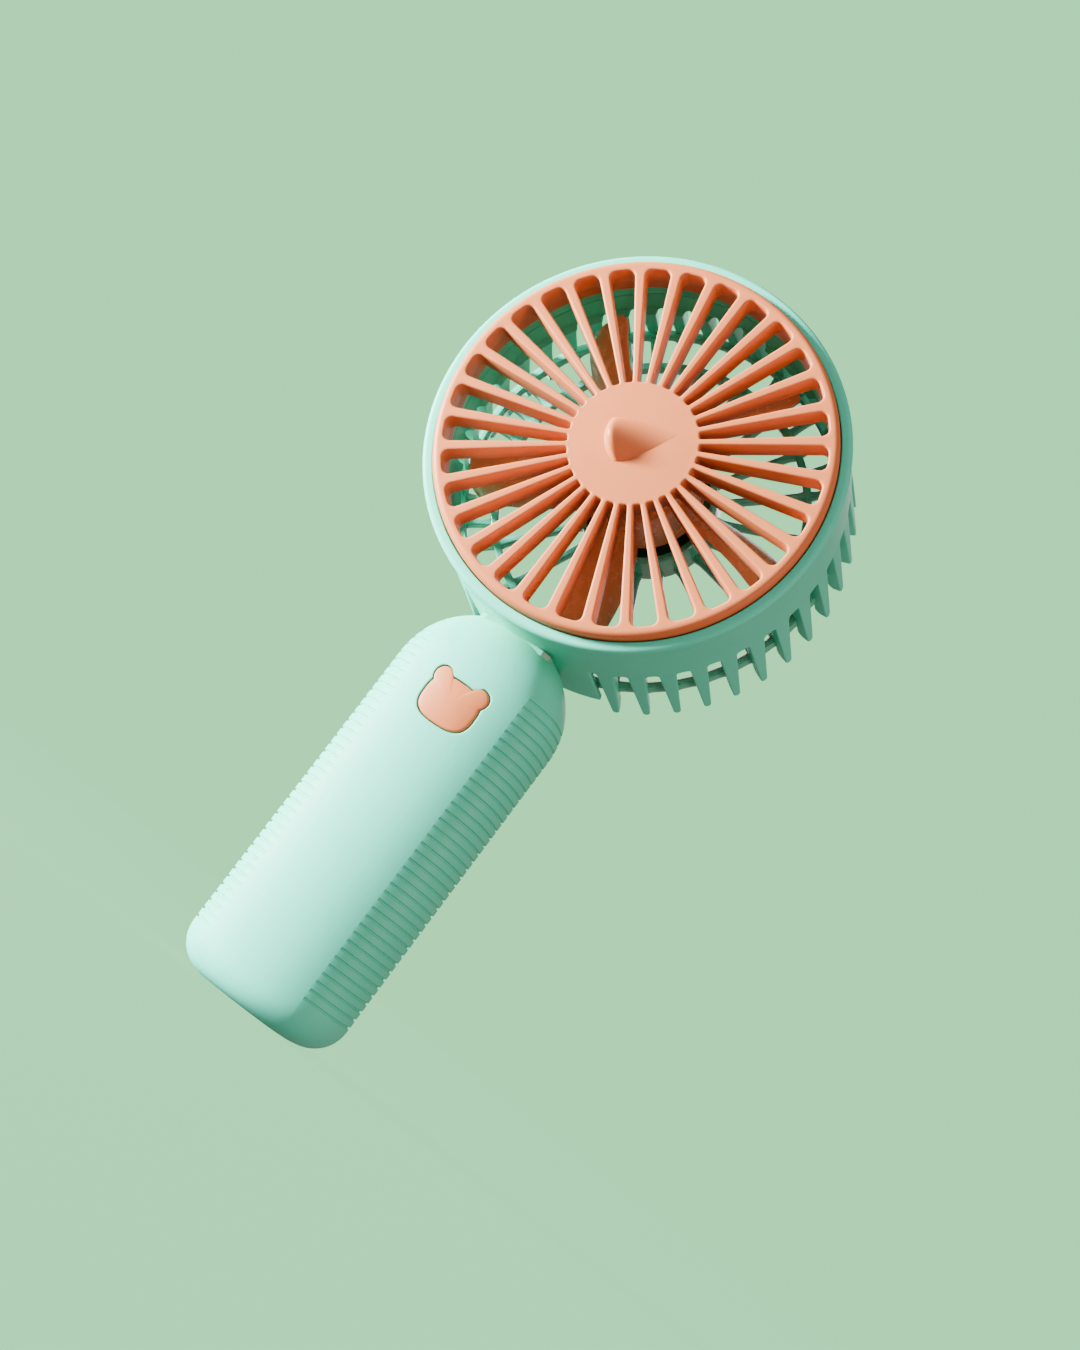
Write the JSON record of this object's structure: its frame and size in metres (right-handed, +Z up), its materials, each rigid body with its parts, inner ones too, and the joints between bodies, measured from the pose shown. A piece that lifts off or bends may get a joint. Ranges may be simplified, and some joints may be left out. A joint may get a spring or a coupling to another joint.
{
  "type": "handheld fan",
  "caption": "Handheld battery fan that stands on its flat handle base: twist-off front grille, spinning impeller in a toothed rear cage, and a press button.",
  "frame": {"origin": "middle of the handle's flat base", "axes": "+Z up along the handle, -Y is the front where the air blows out, +X to the right seen from the front"},
  "size_m": [0.099, 0.0517, 0.2006],
  "materials": {
    "mint_plastic": "satin moulded plastic, pale mint green",
    "peach_plastic": "satin moulded plastic, peach",
    "peach_gloss": "semi-gloss moulded plastic, peach",
    "rotor_steel": "zinc-plated sheet steel",
    "magnet": "bonded ferrite",
    "shaft_steel": "ground steel",
    "brass": "turned brass",
    "bronze": "oil-soaked sintered bronze",
    "stator_steel": "laminated electrical steel",
    "copper": "enamelled copper wire",
    "board_green": "glass-epoxy board with solder mask",
    "black_plastic": "black moulded plastic",
    "white_plastic": "white moulded plastic",
    "socket_steel": "drawn stainless shell",
    "clear_plastic": "frosted clear plastic",
    "cell_wrap": "shrink-wrapped metal can",
    "nickel": "nickel strip",
    "foam": "closed-cell foam",
    "screw_steel": "zinc-plated steel",
    "lead_insulation": "insulated copper wire"
  },
  "bodies": {
    "handle": {"front_ring": "mint_plastic", "rear_cage": "mint_plastic", "rear_hub_cover": "mint_plastic", "bearing_tube": "brass", "front_bearing": "bronze", "rear_bearing": "bronze", "stator_core": "stator_steel", "stator_coils": "copper", "driver_board": "board_green", "handle_front_shell": "mint_plastic", "handle_rear_shell": "mint_plastic", "switch_housing": "black_plastic", "circuit_board": "board_green", "board_components": "black_plastic", "usb_socket": "socket_steel", "status_light_pipe": "clear_plastic", "battery_cell": "cell_wrap", "battery_tabs": "nickel", "battery_pad": "foam", "handle_screws": "screw_steel", "neck_screws": "screw_steel", "motor_leads": "lead_insulation"},
    "rotor": {"impeller": "peach_gloss", "rotor_cup": "rotor_steel", "magnet_ring": "magnet", "motor_shaft": "shaft_steel", "shaft_clip": "shaft_steel"},
    "button": {"power_button": "peach_plastic", "switch_plunger": "white_plastic"},
    "grille": {"front_grille": "peach_plastic"}
  },
  "joints": [
    {"name": "impeller_spin", "type": "hinge", "parent": "handle", "child": "rotor", "pos_m": [0, 0, 0.151], "axis": [0, -1, 0], "continuous": true},
    {"name": "power_button_press", "type": "slide", "parent": "handle", "child": "button", "axis": [0, 1, 0], "range_m": [0, 0.0005], "stiffness_N_per_m": 2000, "springref_m": -0.0005},
    {"name": "grille_twist", "type": "hinge", "parent": "handle", "child": "grille", "pos_m": [0, 0, 0.151], "axis": [0, -1, 0], "range_deg": [0, 12]}
  ]
}
